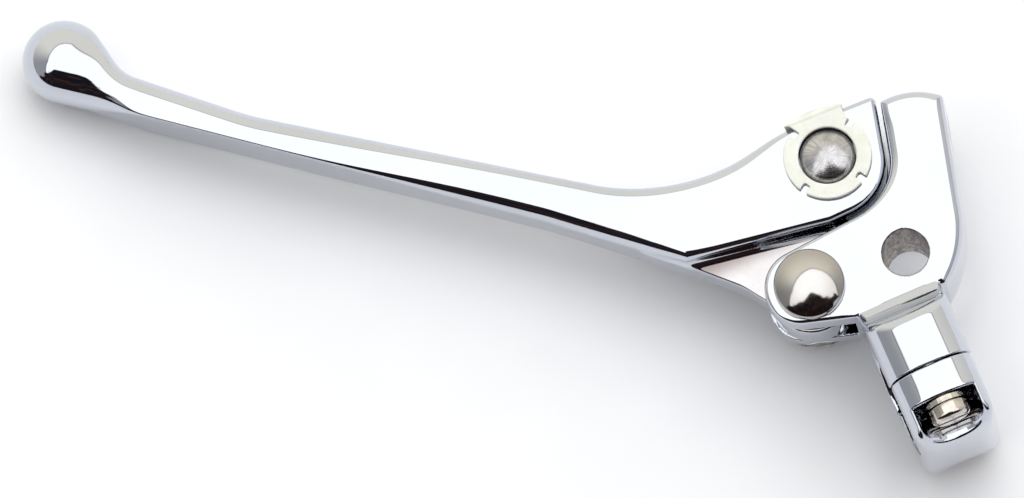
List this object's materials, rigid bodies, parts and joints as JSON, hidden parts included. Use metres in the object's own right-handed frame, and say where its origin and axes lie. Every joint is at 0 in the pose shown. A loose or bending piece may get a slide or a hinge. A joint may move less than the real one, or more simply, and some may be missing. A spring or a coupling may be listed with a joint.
{
  "type": "motorcycle clutch lever and perch",
  "caption": "Chromed ball-end clutch lever pivoting in a clevis bracket with a mirror hole and a split clamp for a round handlebar.",
  "frame": {"origin": "middle of the bounding box of the whole part; the 25.4 mm handlebar bore runs along X through (0.0630, -0.0673, 0) and its clamp splits on the plane y = -0.0673", "axes": "+X along the handlebar bore towards the cable side, +Y from the handlebar towards the bracket, +Z along the lever's pivot towards its domed head"},
  "size_m": [0.1786, 0.1666, 0.042],
  "materials": {
    "chrome_plate": "bright decorative chrome over a polished casting",
    "nickel_plate": "warm bright nickel plate",
    "zinc_plate": "yellowish zinc plate",
    "turned_steel": "lathe-turned, fine rings",
    "spring_steel": "dark phosphated spring steel",
    "bronze": "machined bronze bearing",
    "nylon": "milky translucent moulded nylon"
  },
  "bodies": {
    "perch": {"bracket": "chrome_plate", "clamp_cap": "chrome_plate", "clamp_screw_upper": "nickel_plate", "clamp_screw_lower": "nickel_plate", "lock_washer_upper": "nickel_plate", "lock_washer_lower": "nickel_plate", "pivot_pin": "chrome_plate", "pivot_washer": "zinc_plate", "pivot_retaining_ring": "spring_steel", "anti_rattle_washer": "spring_steel"},
    "hand_lever": {"lever": "chrome_plate", "pivot_bushing": "bronze", "anchor_clip": "nylon"},
    "cable_anchor": {"anchor_pin": "turned_steel"}
  },
  "joints": [
    {"name": "lever_pivot", "type": "hinge", "parent": "perch", "child": "hand_lever", "pos_m": [0.04692, -0.0391, 0], "axis": [0, 0, 1], "range_deg": [0, 38]},
    {"name": "anchor_turn", "type": "hinge", "parent": "hand_lever", "child": "cable_anchor", "pos_m": [0.06152, -0.0147, 0], "axis": [0, 0, 1], "range_deg": [-38, 0]}
  ],
  "couplings": [
    {"joint": "anchor_turn", "follows": "lever_pivot", "ratio": -1}
  ]
}
